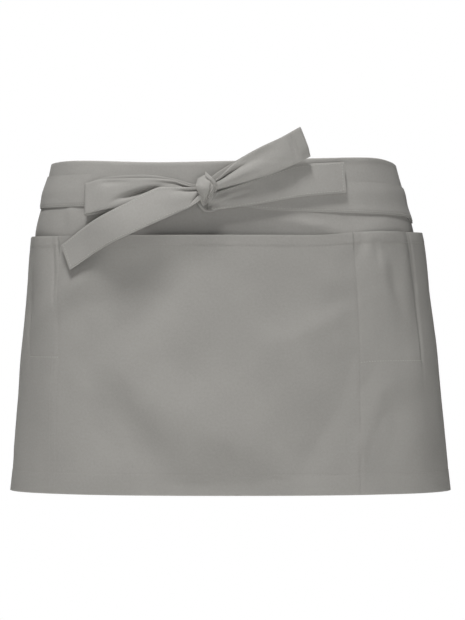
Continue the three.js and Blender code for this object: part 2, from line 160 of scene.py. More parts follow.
def ovalAt(z):
    down = (hip["bandTop"] - z) / hip["length"]
    flare = flareAt(down)
    wide = (hip["waistWidth"] + (hip["hemWidth"] - hip["waistWidth"]) * flare) / 2
    deep = (hip["waistDepth"] + (hip["hemDepth"] - hip["waistDepth"]) * flare) / 2
    return wide, deep, asideAt(down) * hip["waistWidth"]


def ovalPoint(wide, deep, angle):
    power = 2 / hip["squareness"]
    x = wide * np.abs(np.sin(angle)) ** power
    y = -deep * np.sign(np.cos(angle)) * np.abs(np.cos(angle)) ** power
    return x, y


def measureOvals():
    halves, inverse = [], []
    for z in levels:
        wide, deep, _ = ovalAt(z)
        x, y = ovalPoint(wide, deep, angles)
        lengths = np.concatenate([[0], np.cumsum(np.hypot(np.diff(x), np.diff(y)))])
        halves.append(lengths[-1])
        inverse.append(np.interp(shareSteps * lengths[-1], lengths, angles))
    return np.array(halves), np.array(inverse)


halfLengths, angleTable = measureOvals()


def foldRelief(folds, length, drop):
    # soft folds: place round and down, heading in degrees from straight down (to the right
    # positive), half spread across and along, height in mm (a hollow is negative)
    total = 0 * length
    for at, low, heading, wide, long, deep in folds:
        turn = math.radians(heading)
        across = (length - at) * math.cos(turn) - (drop - low) * math.sin(turn)
        along = (length - at) * math.sin(turn) + (drop - low) * math.cos(turn)
        total = total + deep * bell(across, wide) * bell(along, long)
    return total


def halfAt(z):
    return np.interp(-np.asarray(z, float), -levels, halfLengths)


def onBody(turn, z, out):
    # turn: 0 at the front, 1 at the back, negative to the left; out: mm off the hollow
    turn, z, out = np.broadcast_arrays(*(np.asarray(a, float) for a in (turn, z, out)))
    around = np.mod(turn + 1, 2) - 1
    side = np.where(around < 0, -1.0, 1.0)
    row = (levels[0] - z) / (levels[0] - levels[-1]) * (len(levels) - 1)
    row = np.clip(row, 0, len(levels) - 1.001)
    col = np.clip(np.abs(around) * (len(shareSteps) - 1), 0, len(shareSteps) - 1.001)
    r, c = row.astype(int), col.astype(int)
    fr, fc = row - r, col - c
    upper = angleTable[r, c] * (1 - fc) + angleTable[r, c + 1] * fc
    lower = angleTable[r + 1, c] * (1 - fc) + angleTable[r + 1, c + 1] * fc
    angle = upper * (1 - fr) + lower * fr
    wide, deep, aside = ovalAt(z)
    x, y = ovalPoint(wide, deep, angle)
    power = hip["squareness"] - 1
    nx = (np.abs(x) / wide) ** power / wide
    ny = np.sign(y) * (np.abs(y) / deep) ** power / deep
    size = np.hypot(nx, ny)
    return np.stack([side * (x + nx / size * out) + aside, y + ny / size * out, z], -1)


def onCloth(length, z, out):
    return onBody(length / halfAt(z), z, out)


def frontTurn(x, z, out):
    # how far round the front the cloth has this sideways distance
    low, high = np.full(np.shape(x), -0.5), np.full(np.shape(x), 0.5)
    for _ in range(26):
        middle = (low + high) / 2
        left = onBody(middle, z, out)[..., 0] < x
        low, high = np.where(left, middle, low), np.where(left, high, middle)
    return low


# Materials

def linear(hexColour):
    # sRGB hex to the linear values that the shader takes
    values = [int(hexColour[i:i + 2], 16) / 255 for i in (1, 3, 5)]
    return [v / 12.92 if v <= 0.04045 else ((v + 0.055) / 1.055) ** 2.4 for v in values] + [1]


def addNode(tree, kind, settings=None, inputs=None, links=None):
    node = tree.nodes.new(kind)
    for name, value in (settings or {}).items():
        setattr(node, name, value)
    for socket, value in (inputs or {}).items():
        node.inputs[socket].default_value = value
    for socket, source in (links or {}).items():
        tree.links.new(source, node.inputs[socket])
    return node


def newMaterial(name):
    material = bpy.data.materials.new(name)
    material.use_nodes = True
    material.node_tree.nodes.clear()
    return material, material.node_tree


def addNoise(tree, place, scale, detail, roughness=0.5):
    node = addNode(tree, "ShaderNodeTexNoise", {"noise_dimensions": "3D"},
                   {"Scale": scale, "Detail": detail, "Roughness": roughness}, {"Vector": place})
    return node.outputs["Fac"]


def addBands(tree, place, pitch, distortion, detailScale=1.0):
    # diagonal bands, pitch mm apart
    node = addNode(tree, "ShaderNodeTexWave",
                   {"wave_type": "BANDS", "bands_direction": "DIAGONAL", "wave_profile": "SIN"},
                   {"Scale": 2 * math.pi / (10 * pitch * 0.001), "Distortion": distortion,
                    "Detail": 1.0, "Detail Scale": detailScale}, {"Vector": place})
    return node.outputs["Fac"]


def addMix(tree, share, first, second):
    node = addNode(tree, "ShaderNodeMix", {"data_type": "FLOAT"}, {"Factor": share},
                   {2: first, 3: second})
    return node.outputs[0]


def addRamp(tree, source, stops):
    node = addNode(tree, "ShaderNodeValToRGB", links={"Fac": source})
    for element, (place, colour) in zip(node.color_ramp.elements, stops):
        element.position = place
        element.color = colour
    return node.outputs["Color"]


def tint(base, share):
    return [c * share for c in base[:3]] + [1]


twill = {
    "colour": "#9c9a96",  # mid grey, a touch warm
    "tieColour": "#9f9d99",
    "linePitch": 1.1,  # mm between twill lines; really about 0.6, coarser so that it shows
    "yarnPitch": 0.9,  # mm between the yarns that break the lines up
    "relief": 0.1,  # mm
    "crumple": 0.8,  # mm, a soft unevenness between the folds
    "mottle": 0.05,
    "worn": 1.22,  # how much lighter the edges are: partly wear, partly a painted highlight where the folded edges catch the light
    "roughness": 0.88,
}


def makeTwill(name, colour):
    # cotton/poly twill, woven and piece dyed: dull, with fine slanting lines and a faint
    # heathered unevenness; gives the eye a soft cloth without any gloss but a little fuzz
    material, tree = newMaterial(name)
    place = addNode(tree, "ShaderNodeAttribute", {"attribute_name": "weave"}).outputs["Vector"]
    rim = addNode(tree, "ShaderNodeAttribute", {"attribute_name": "rim"}).outputs["Fac"]
    across = addNode(tree, "ShaderNodeMapping", {"vector_type": "POINT"},
                     {"Rotation": (0, 0, math.pi / 2)}, {"Vector": place}).outputs["Vector"]
    weave = addMix(tree, 0.3, addBands(tree, place, twill["linePitch"], 0.6, 2.0),
                   addBands(tree, across, twill["yarnPitch"], 1.5))
    slub = addNoise(tree, place, 420.0, 3.0, 0.6)
    heather = addMix(tree, 0.5, slub, addNoise(tree, place, 17.0, 2.0))
    base = linear(colour)
    dyed = addRamp(tree, addMix(tree, 0.25, heather, weave),
                   [(0.3, tint(base, 1 - 2.2 * twill["mottle"])),
                    (0.7, tint(base, 1 + 1.6 * twill["mottle"]))])
    # the edges are made lighter in the colour: partly wear, partly a painted highlight along the
    # folded edges
    worn = addNode(tree, "ShaderNodeMix", {"data_type": "RGBA", "blend_type": "MIX"},
                   {7: tint(base, twill["worn"])}, {0: rim, 6: dyed})
    fine = addNode(tree, "ShaderNodeBump", None,
                   {"Strength": 0.35, "Distance": twill["relief"] * 0.001}, {"Height": weave})
    soft = addNode(tree, "ShaderNodeBump", None,
                   {"Strength": 0.3, "Distance": twill["crumple"] * 0.001},
                   {"Height": addNoise(tree, place, 85.0, 2.0, 0.45),
                    "Normal": fine.outputs["Normal"]})
    rough = addNode(tree, "ShaderNodeMapRange", None,
                    {"To Min": twill["roughness"] - 0.05, "To Max": twill["roughness"] + 0.05},
                    {"Value": slub})
    shader = addNode(tree, "ShaderNodeBsdfPrincipled", None,
                     {"IOR": 1.5, "Specular IOR Level": 0.2, "Sheen Weight": 0.03,
                      "Sheen Roughness": 0.45},
                     {"Base Color": worn.outputs[2], "Roughness": rough.outputs[0],
                      "Normal": soft.outputs["Normal"]})
    addNode(tree, "ShaderNodeOutputMaterial", links={"Surface": shader.outputs[0]})
    return material


def makeThread(name, colour):
    # spun polyester sewing thread: round, a little brighter and smoother than the cloth
    material, tree = newMaterial(name)
    place = addNode(tree, "ShaderNodeTexCoord").outputs["Object"]
    base = linear(colour)
    twist = addRamp(tree, addNoise(tree, place, 900.0, 2.0),
                    [(0, tint(base, 0.85)), (1, tint(base, 1.12))])
    shader = addNode(tree, "ShaderNodeBsdfPrincipled", None,
                     {"Roughness": 0.6, "IOR": 1.54, "Sheen Weight": 0.1}, {"Base Color": twist})
    addNode(tree, "ShaderNodeOutputMaterial", links={"Surface": shader.outputs[0]})
    return material


panelTwill = makeTwill("cottonPolyTwillPanel", twill["colour"])
tieTwill = makeTwill("cottonPolyTwillTie", twill["tieColour"])
thread = makeThread("spunPolyesterThread", "#979591")
# the same thread drawn lighter: a painted highlight for stitches that stand free and catch the
# light
paintedHighlightThread = makeThread("spunPolyesterThreadPaintedHighlight", "#b5b4af")
print("materials made")


# Meshes

def finishPiece(obj, material, nodes):
    obj.data.materials.append(material)
    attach(obj, "root")
    if nodes:
        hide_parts(*nodes)


def addObject(name, data):
    obj = bpy.data.objects.new(name, data)
    bpy.context.scene.collection.objects.link(obj)
    return obj


def meshObject(name, points, faces, smoothBelow=40.0):
    mesh = bpy.data.meshes.new(name)
    points = np.asarray(points, np.float32)
    faces = np.asarray(faces, np.int32)
    corners = faces.shape[1]
    mesh.vertices.add(len(points))
    mesh.vertices.foreach_set("co", points.ravel() * np.float32(0.001))
    mesh.loops.add(faces.size)
    mesh.loops.foreach_set("vertex_index", faces.ravel())
    mesh.polygons.add(len(faces))
    mesh.polygons.foreach_set("loop_start", np.arange(0, faces.size, corners, dtype=np.int32))
    mesh.update(calc_edges=True)
    mesh.validate()
    mesh.shade_smooth()
    mesh.set_sharp_from_angle(angle=math.radians(smoothBelow))
    return addObject(name, mesh)


def wallMesh(outer, inner):
    # a closed wall between two grids of points
    rows, cols = outer.shape[:2]
    index = np.arange(rows * cols).reshape(rows, cols)
    deep = index + rows * cols
    front = np.stack([index[:-1, :-1], index[1:, :-1], index[1:, 1:], index[:-1, 1:]], -1)
    back = np.stack([deep[:-1, :-1], deep[:-1, 1:], deep[1:, 1:], deep[1:, :-1]], -1)
    loop = np.concatenate([index[0, :-1], index[:-1, -1], index[-1, :0:-1], index[:0:-1, 0]])
    after = np.roll(loop, -1)
    side = np.stack([loop, after, after + rows * cols, loop + rows * cols], -1)
    faces = np.concatenate([front.reshape(-1, 4), back.reshape(-1, 4), side])
    points = np.concatenate([outer.reshape(-1, 3), inner.reshape(-1, 3)])
    corners = points[faces]
    volume = sum(np.einsum("ij,ij->i", corners[:, 0],
                           np.cross(corners[:, k], corners[:, k + 1])).sum() for k in (1, 2))
    return points, faces[:, ::-1] if volume < 0 else faces


def clothPiece(name, node, walls, material, smoothBelow=40.0):
    # each wall: outer grid, inner grid, place in the weave, share of lighter edge (wear and
    # painted highlight)
    points, faces, weaves, rims, base = [], [], [], [], 0
    for outer, inner, weave, rim in walls:
        wallPoints, wallFaces = wallMesh(outer, inner)
        points.append(wallPoints)
        faces.append(wallFaces + base)
        weaves += [weave.reshape(-1, 2)] * 2
        rims += [rim.ravel()] * 2
        base += len(wallPoints)
    obj = meshObject(name, np.concatenate(points), np.concatenate(faces), smoothBelow)
    coords = np.zeros((base, 3), np.float32)
    coords[:, :2] = np.concatenate(weaves) * 0.001
    attribute = obj.data.attributes.new("weave", "FLOAT_VECTOR", "POINT")
    attribute.data.foreach_set("vector", coords.ravel())
    attribute = obj.data.attributes.new("rim", "FLOAT", "POINT")
    attribute.data.foreach_set("value", np.concatenate(rims).astype(np.float32))
    finishPiece(obj, material, [node])
    return obj


def spread(low, high, base, fine, marks, reach):
    # places from low to high, base apart and closer near the marks
    places = [low]
    while places[-1] < high:
        near = min([abs(places[-1] - m) for m in marks] or [reach])
        places.append(places[-1] + fine + (base - fine) * float(ease(near / reach)))
    places = np.array(places)
    return low + (places - low) * (high - low) / (places[-1] - low)


def stitchPiece(name, runs, material):
    # short threads lying on the cloth, joined into one mesh; a run: points, normals, pitch;
    # a thread's rings: place along it, girth and height, with both ends sunk in the cloth
    rings = np.array([[-1.0, 0.0, -0.9], [-0.72, 0.75, 0.0], [0.0, 1.0, 0.5],
                      [0.72, 0.75, 0.0], [1.0, 0.0, -0.9]])
    sides = 6
    points, faces = [], []
    for line, normals, pitch in runs:
        along = lengthAlong(line)
        count = max(1, int(along[-1] / pitch))
        middles = (np.arange(count) + 0.5) * along[-1] / count
        half = stitch["length"] / 2 * pitch / stitch["pitch"]
        at = lambda s, of: np.stack([np.interp(s, along, of[:, k]) for k in range(3)], -1)
        start, end, up = at(middles - half, line), at(middles + half, line), at(middles, normals)
        for a, b, n in zip(start, end, up):
            middle, reach = (a + b) / 2, (b - a) / 2
            n = n / np.linalg.norm(n)
            aside = np.cross(reach, n)
            aside /= max(np.linalg.norm(aside), 1e-6)
            base = len(points)
            for k, (t, r, lift) in enumerate(rings):
                centre = middle + reach * t + n * stitch["radius"] * lift
                if r == 0:
                    points.append(centre)
                    continue
                for s in range(sides):
                    turn = 2 * math.pi * s / sides
                    ring = aside * math.cos(turn) + n * math.sin(turn)
                    points.append(centre + ring * stitch["radius"] * r)
            for s in range(sides):
                t = (s + 1) % sides
                pairs = [(base + 1 + k * sides + s, base + 1 + k * sides + t) for k in range(3)]
                faces.append((base, pairs[0][1], pairs[0][0]))
                faces += [(a, b, d, c) for (a, b), (c, d) in zip(pairs, pairs[1:])]
                faces.append((*pairs[2], base + 1 + 3 * sides))
    mesh = bpy.data.meshes.new(name)
    mesh.from_pydata((np.array(points) * 0.001).tolist(), [], faces)
    mesh.update()
    mesh.shade_smooth()
    finishPiece(addObject(name, mesh), material, ())


# The panels

topRiseAt = smoothCurve(cloth["topTurn"], cloth["topRise"])


def topOfBand(length):
    return hip["bandTop"] + topRiseAt(length / halfAt(hip["bandTop"])) * cloth["bandHeight"]


def pocketEdge(length):
    start, end = pockets["liftFrom"], pockets["liftTo"]
    return pocketHeight + pockets["lift"] * ease((length - start) / (end - start))


def arch(length, start, end):
    share = np.clip((length - start) / (end - start), 0, 1)
    return np.sin(math.pi * share) ** 1.2


pocketFolds = [
    # under the bow's end the cloth sinks in, then comes out again in a slanting bulge
    (-98, 10, 100, 24, 42, -5.0), (-75, 58, 125, 30, 75, -7.0), (-155, 50, -55, 14, 75, 3.4),
    (17, 158, 100, 30, 75, 3.7),
    # the long fold that falls from the left pocket to the middle of the hem
    (-40, 177, 62, 28, 75, 3.1), (-103, 187, 43, 24, 75, -2.6), (-135, 236, 10, 30, 19, 1.1),
    # low in the middle: the foot of the bulge, and a dimple
    (-6, 203, 100, 30, 75, 3.8), (0, 217, 0, 6, 6, -1.0), (40, 236, 60, 8, 14, -1.0),
    # folds that fall from the right pocket, and the hollow to their left
    (103, 179, -28, 20, 75, -1.8), (137, 193, -20, 11, 48, 1.4), (159, 190, -48, 20, 38, -1.4),
    # level creases near the right seam
    (110, 42, 103, 15, 75, 0.9), (51, 105, 110, 30, 75, 2.2), (86, 88, 111, 9, 38, 1.3),
    (149, 2, 60, 28, 38, -2.2),
    # upright creases beside the left seam
    (-177.3, 38, 2, 1.5, 30, -0.9), (-173.5, 20, 2, 2.6, 22, 1.1), (-184, 154, -7, 19, 75, 1.6),
    # wrinkles in the right pocket, and the cloth that is drawn in along its outer seam
    (187, 34, 5, 10, 38, 2.2), (170, 50, 18, 7, 26, -2.6), (150, 22, 8, 2.4, 13, -1.2),
    (140, 20, 0, 5, 9, 1.4), (201, 34, 4, 3.5, 32, -2.6), (203.5, 92, 0, 2.5, 40, -0.9),
    (197, 130, -4, 30, 80, 2.0),
    # smaller ones between them
    (-61, 189, 38, 16, 70, 1.1), (-117, 144, 50, 12, 18, -0.6), (-35, 179, 59, 20, 60, 1.2),
    (-5, 234, 122, 12, 31, -1.0), (21, 249, 86, 11, 60, -1.6), (163, 151, -73, 18, 60, 1.1),
    (192, 207, 4, 24, 60, 2.0), (106, 49, 73, 9, 23, 0.7), (-111, 61, 96, 15, 55, -1.2),
    (-60, 30, 110, 18, 60, -2.2), (-95, 30, 100, 14, 40, -1.4), (-133, 231, 80, 24, 45, 0.8),
    # side edges
    (-226, 60, 4, 5, 50, -0.7),
]

skirtFolds = [
    # under the tie on the right: a slanting roll of cloth, then cloth that stands out at its foot
    (5, -26, 90, 12, 75, 1.2), (80, -12, 78, 5, 30, 1.6), (55, -20, 80, 4, 24, -0.8),
    (152, 2, 90, 11, 26, 2.4), (122, -10, 40, 5, 9, -0.6),
    # under the tie on the left
    (-157, -22, 0, 7, 9, 1.0), (-140, -12, 20, 8, 10, -0.8), (-190, 2, 90, 10, 24, 1.0),
]

bandFolds = [
    (-222, -80, 0, 30, 16, 2.0), (208, -82, 0, 26, 12, 1.0),
    (-98, -82, 12, 8, 9, -0.8), (-60, -80, 0, 26, 12, 0.8), (150, -78, 0, 14, 14, 0.6),
    (180, -70, 0, 9, 20, -0.5), (-10, -74, 60, 12, 8, -0.5),
]


def seamAt(name, drop):
    return smoothCurve(pockets["seamDown"], pockets[name])(drop)


def seamsAt(drop):
    return [seamAt(name, drop) for name in ("leftEnd", "leftSeam", "rightSeam", "rightEnd")]


def footAt(length):
    # how far down the side pockets reach
    return np.where(length > 0, pockets["rightDepth"], pockets["leftDepth"])


def pocketOut(length, z):
    # how far the pocket cloth's back stands off the hollow
    drop = pocketEdge(length) - z
    down = drop / (pocketEdge(length) - hemHeight)
    fade = np.clip(1 - down, 0, 1) ** 1.3
    sideFade = 1 - ease(drop / footAt(length))
    leftEnd, left, right, rightEnd = seamsAt(drop)
    gap = pockets["middleGape"] * fade * arch(length, left, right)
    gap = gap + pockets["sideGape"] * sideFade * (arch(length, leftEnd, left)
                                                 + arch(length, right, rightEnd))
    gap = gap + pockets["edgeGape"] * fade * (arch(length, leftEdge, leftEnd)
                                              + arch(length, rightEnd, rightEdge))
    gap = gap + foldRelief(pocketFolds, length, drop)
    under = foldRelief(skirtFolds, length, drop)
    return overSkirt + np.maximum(gap, 0) + np.maximum(under, 0)


def pocketFace(length, z):
    # the outer face: the folded mouth and hem, the sewn lines drawn in, and small puckers
    drop = pocketEdge(length) - z
    tall = pocketEdge(length) - hemHeight
    fromMouth, fromHem = drop - pockets["mouthHem"], drop - (tall - pockets["hem"])
    mouth = pockets["mouthRise"] * (1 - ease((fromMouth + 0.6) / 1.2))
    hem = pockets["hemRise"] * ease((fromHem + 0.6) / 1.2)
    groove = pockets["lineDepth"] * (bell(fromMouth, 1.1) + bell(fromHem, 1.1))
    pucker = 0.5 + 0.5 * np.sin(drop * 0.9 + 2 * softNoise(length, z, 20, 9))
    foot = pockets["seamDown"][-1]
    for name, reach, depth in (("leftSeam", foot, 0.12), ("rightSeam", foot, 0.2),
                               ("leftEnd", pockets["leftDepth"], 0.2),
                               ("rightEnd", pockets["rightDepth"], 0.3)):
        off = np.abs(length - seamAt(name, drop))
        ends = 1 - ease((drop - reach) / 4)
        groove = groove + depth * ends * bell(off, 1.2)
        groove = groove - pockets["puckerRise"] * ends * pucker * bell(off - 4.5, 3)
    leftEnd, left, right, rightEnd = seamsAt(drop)
    inside = ((length > leftEnd) & (length < left)) | ((length > right) & (length < rightEnd))
    groove = groove + pockets["footDepth"] * bell(drop - footAt(length), 1.1) * inside
    crumple = 0.35 * softNoise(length, z, 34, 3) + 0.16 * softNoise(length, z, 13, 5)
    return pocketOut(length, z) + cloth["wall"] + mouth + hem - groove + crumple


def buildPocket():
    # the points stand closer near the sewn lines and the edges
    marks = [-173, 127.5, -226, 201] + edges
    lengths = spread(*edges, base=2.6, fine=0.8, marks=marks, reach=16)
    rowMarks = [0, pockets["mouthHem"], pockets["leftDepth"], pockets["rightDepth"],
                pocketTall - pockets["hem"], pocketTall]
    rows = spread(0, pocketTall, base=3.4, fine=0.9, marks=rowMarks, reach=9) / pocketTall
    length, share = np.meshgrid(lengths, rows)
    edge = pocketEdge(length)
    z = edge + (hemHeight - edge) * share
    drop = edge - z
    face, out = pocketFace(length, z), pocketOut(length, z)
    outer = onCloth(length, z, face)
    inner = onCloth(length, z, np.minimum(out, face - 0.7 * cloth["wall"]))
    toEdge = np.minimum.reduce([drop, drop[-1] - drop, length - leftEdge, rightEdge - length])
    rim = 0.6 * bell(toEdge, 0.9)
    walls = [(outer, inner, np.stack([length, z], -1), rim)]
    obj = clothPiece("pocketCloth", "pocket_panel", walls, panelTwill)


def buildSkirt():
    lengths = spread(*edges, base=3.6, fine=1.2, marks=edges, reach=14)
    tall = hip["length"] - cloth["wall"]
    marks = [tall - pockets["hem"], tall]
    rows = spread(0, tall, base=3.6, fine=1.2, marks=marks, reach=8) / tall
    length, share = np.meshgrid(lengths, rows)
    top = topOfBand(length) - cloth["wall"] - cloth["gap"]
    z = top + (hemHeight - top) * share
    wave = 0.2 * softNoise(length, z, 30, 11) * ease((bandFoot - z) / 10)
    wave = wave + foldRelief(skirtFolds, length, pocketEdge(length) - z)
    wave = np.maximum(wave, -0.2) * ease((bandFoot - z + 2) / 8)
    outer = onCloth(length, z, cloth["wall"] + wave)
    inner = onCloth(length, z, np.minimum(wave, 0) + np.maximum(wave, 0) * 0.9)
    toEdge = np.minimum.reduce([z - hemHeight, length - leftEdge, rightEdge - length])
    rim = 0.6 * bell(toEdge, 0.9)
    walls = [(outer, inner, np.stack([length, z], -1), rim)]
    obj = clothPiece("skirtCloth", "skirt_panel", walls, panelTwill)


def buildBand():
    lengths = spread(*edges, base=4.0, fine=1.5, marks=edges, reach=14)
    outside, inside = overSkirt + cloth["wall"], -cloth["gap"] - cloth["wall"]
    # round the strip: share of the way up the leg, and both faces' distance off the hollow
    legRows = np.linspace(0, 1, 12)
    tip = 0.02  # share that the fold at the top adds
    bend = np.linspace(0, math.pi, 9)[1:-1]
    middle, radius = (outside + inside) / 2, (outside - inside) / 2
    ring = [(up, outside, overSkirt) for up in legRows]
    ring += [(1 + math.sin(b) * tip, middle + radius * math.cos(b),
              middle + (radius - cloth["wall"]) * math.cos(b)) for b in bend]
    ring += [(up, inside, inside + cloth["wall"]) for up in legRows[::-1]]
    ups, outs, ins = (np.array(c)[:, None] for c in zip(*ring))
    length = np.broadcast_to(lengths, (len(ring), len(lengths)))
    top = topOfBand(length) - cloth["wall"]
    turned = np.clip(ups - 1, 0, 1) / tip
    zOuter = bandFoot + (top - bandFoot) * np.minimum(ups, 1) + turned * cloth["wall"]
    zInner = bandFoot + (top - bandFoot) * np.minimum(ups, 1) + turned * 0.1
    relief = foldRelief(bandFolds, length, pocketHeight - zOuter)
    relief = np.maximum(relief, 0) + 0.25 * softNoise(length, zOuter, 24, 13) + 0.25
    relief = relief * (outs > overSkirt)
    relief = relief * ease((length - leftEdge) / 9) * ease((rightEdge - length) / 9)
    outer = onCloth(length, zOuter, np.broadcast_to(outs, length.shape) + relief)
    inner = onCloth(length, zInner, np.broadcast_to(ins, length.shape))
    around = np.cumsum(np.concatenate([[0], np.abs(np.diff(ups[:, 0])) * 30 + 0.4]))
    weave = np.stack([length, np.broadcast_to(around[:, None], length.shape)], -1)
    # the band's top fold is made lighter: partly wear, partly a painted highlight where it
    # catches the light from above
    rim = 0.35 * np.broadcast_to(bell(ups - 1, 0.03), length.shape)
    obj = clothPiece("waistbandCloth", "waistband", [(outer, inner, weave, rim)], tieTwill)


# The ties, from their ends of the band across the back and forward to the knot

leftTieRows = [
    # part of the way, share, up, out, wide
    ("back", 0, 0, -0.2, 1), ("back", 0.18, 0, overTie, 1),
    ("back", 0.5, -0.35, overTie, 1), ("back", 0.9, -0.72, overBand, 1),
    ("front", 0.1, -0.78, overBand, 1), ("front", 0.26, -0.8, overBand + ties["slack"], 1.06),
    ("front", 0.38, -0.64, overBand, 1), ("front", 0.6, -0.58, overBand, 0.98),
    ("front", 0.8, -0.54, overBand, 0.95), ("front", 0.92, -0.49, overBand, 0.7),
    ("front", 1, -0.46, overBand + ties["wall"], 0.36),
]
rightTieRows = [
    ("back", 0, 0, -0.2, 1), ("back", 0.5, -0.5, 0, 1),
    ("back", 0.8, -1.1, 0, 1), ("back", 0.97, -1.1, overBand, 1),
    ("front", 0.16, -0.75, overBand, 1), ("front", 0.37, -0.37, overBand + ties["slack"], 1),
    ("front", 0.6, -0.365, overBand, 1), ("front", 0.84, -0.35, overBand, 0.95),
    ("front", 0.93, -0.42, overBand, 0.66), ("front", 1, -0.46, overBand + ties["wall"], 0.34),
]


def buildTie(name, node, side, ownEnd, otherEnd, rows):
    half = halfAt(0.0)
    start = (abs(ownEnd) + cloth["gap"]) / half
    far = 2 - abs(otherEnd) / half
    end = 2 - side * knot["aside"] / half
    turns = [start + r[1] * (far - start) if r[0] == "back" else far + r[1] * (end - far)
             for r in rows]
    upAt, outAt, wideAt = (smoothCurve(turns, [r[k] for r in rows]) for k in (2, 3, 4))
    steps = np.linspace(start, end - 0.006, 300)
    across = spread(-0.5, 0.5, base=0.06, fine=0.02, marks=[-0.5, 0.5], reach=0.15)[::-1]
    edge, turn = np.meshgrid(across, steps)
    z = (upAt(turn) + edge * wideAt(turn)) * ties["width"]
    seat = (abs(ownEnd) + cloth["gap"]) / halfAt(z)
    settled = ease((turn - start) / (0.4 * (far - start)))
    place = side * (turn + (seat - start) * (1 - settled))
    out = outAt(turn)
    # where the tie narrows towards the knot it gathers into pleats
    gather = ease((0.93 - wideAt(turn)) / 0.5)
    pleat = gather * ties["pleat"] * (1 - np.cos(4 * math.pi * (edge + 0.5))) / 2
    length = (turn - start) * half
    ripple = ties["ripple"] * softNoise(length, edge * ties["width"], 26, 17 + side)
    toEdge = (0.5 + edge) * ties["width"]
    seam = ties["seamDepth"] * bell(toEdge - ties["seamInset"], 0.7)
    crown = ties["crown"] * (1 - (2 * edge) ** 2)
    # below the band the tie lies down on the skirt, where nothing is between them
    past = ease((turn - far - 0.02) / 0.05) if side < 0 else ease((turn - far) / 0.1)
    drape = past * ease((bandFoot + 6 - z) / 19) * (1 - gather)
    around = place * halfAt(z)
    skirt = np.maximum(foldRelief(skirtFolds, around, pocketEdge(around) - z), 0)
    out = out * (1 - drape) + (overSkirt + skirt) * drape
    # it thins evenly towards its upper edge, and its lower edge is folded thin
    thin = ties["topThin"] * (edge + 0.5) + ties["footThin"] * ease((-2 * edge - 0.8) / 0.2)
    outer = onBody(place, z, out + ties["wall"] - thin + pleat + ripple - seam + crown)
    inner = onBody(place, z, out + pleat * 0.9 + np.minimum(ripple, 0) * 0.5)
    weave = np.stack([length, edge * ties["width"]], -1)
    obj = clothPiece(name, node, [(outer, inner, weave, 0.4 * bell(toEdge, 0.8))], tieTwill)
    # the stitches end a little before the knot
    k = int(np.argmin(np.abs(across + 0.5 - ties["seamInset"] / ties["width"])))
    line, under = outer[:-22, k], inner[:-22, k]
    # these stitches use the lighter thread copy, a painted highlight
    stitchPiece(name + "Stitches", [(line, line - under, stitch["pitch"])], paintedHighlightThread)


# The bow, in tie widths from the middle of the knot. A layer's rows give its upper and lower
# edge, how far it stands out, how far its middle bulges and how deep its gathers are

layerColumns = ["topX", "topZ", "lowX", "lowZ", "out", "crown", "pleat"]
ribbonPoints = 46  # across a ribbon

leftLoop = {
    "front": [
        (-0.1, 0.14, -0.08, -0.1, 0.25, 0.02, 0.01),
        (-0.45, 0.18, -0.45, -0.14, 0.24, 0.02, 0.01), (-1.1, 0.37, -1.1, -0.3, 0.24, 0.03, 0.01),
        (-2, 0.43, -2, -0.42, 0.22, 0.02, 0), (-3, 0.43, -2.95, -0.5, 0.2, 0.01, 0),
        (-3.7, 0.31, -3.68, -0.64, 0.16, 0, 0),
    ],
    "back": [
        (-0.1, 0.2, -0.08, -0.12, 0.08, 0, 0), (-0.45, 0.26, -0.45, -0.18, 0.06, 0, 0),
        (-1.1, 0.44, -1.1, -0.32, 0.04, 0, 0), (-2, 0.55, -2, -0.48, 0.03, 0, 0),
        (-3, 0.5, -3, -0.6, 0.04, 0, 0), (-3.68, 0.31, -3.7, -0.7, 0.05, 0, 0),
    ],
    # soft hollows and ridges: share of the way out, place across (-1 low, 1 top), how far they
    # run each way, depth in tie widths, slope
    "folds": [
        (0.61, -0.06, 0.11, 0.22, -0.17, -2.7), (0.78, 0.72, 0.09, 0.2, -0.04, 0),
        (0.86, 0.1, 0.08, 0.7, 0.03, 0), (0.24, 0.55, 0.1, 0.16, -0.08, 1.6),
        (0.34, 0.92, 0.16, 0.14, 0.04, 0),
    ],
}

rightLoop = {
    "front": [
        (0.08, 0.2, 0.1, 0.02, 0.36, 0.01, 0), (0.38, 0.43, 0.5, 0.12, 0.39, 0.02, 0),
        (0.86, 0.87, 1.08, 0.27, 0.41, 0.03, 0), (1.6, 1.34, 1.8, 0.49, 0.42, 0.04, 0),
        (2.27, 1.66, 2.5, 0.76, 0.4, 0.02, 0), (2.82, 1.97, 3.17, 1.08, 0.38, 0, 0),
    ],
    "back": [
        (0.06, 0.38, 0.1, 0.02, 0.17, 0, 0), (0.4, 0.64, 0.5, 0.1, 0.17, 0, 0),
        (0.78, 0.88, 1.08, 0.25, 0.17, 0, 0), (1.6, 1.35, 1.8, 0.47, 0.18, 0, 0),
        (2.27, 1.65, 2.5, 0.75, 0.22, 0, 0), (2.82, 1.97, 3.17, 1.08, 0.25, 0, 0),
    ],
    "folds": [
        (0.26, 0.5, 0.15, 0.17, -0.19, -0.8), (0.24, 0.9, 0.18, 0.13, 0.03, 0),
        (0.42, -0.2, 0.18, 0.35, 0.04, 0), (0.58, 0.5, 0.12, 0.4, -0.04, 0),
        (0.76, -0.3, 0.1, 0.6, 0.03, 0), (0.9, 0, 0.03, 1.3, -0.06, 0),
        (1, -0.9, 0.06, 0.35, -0.07, 0),
    ],
}

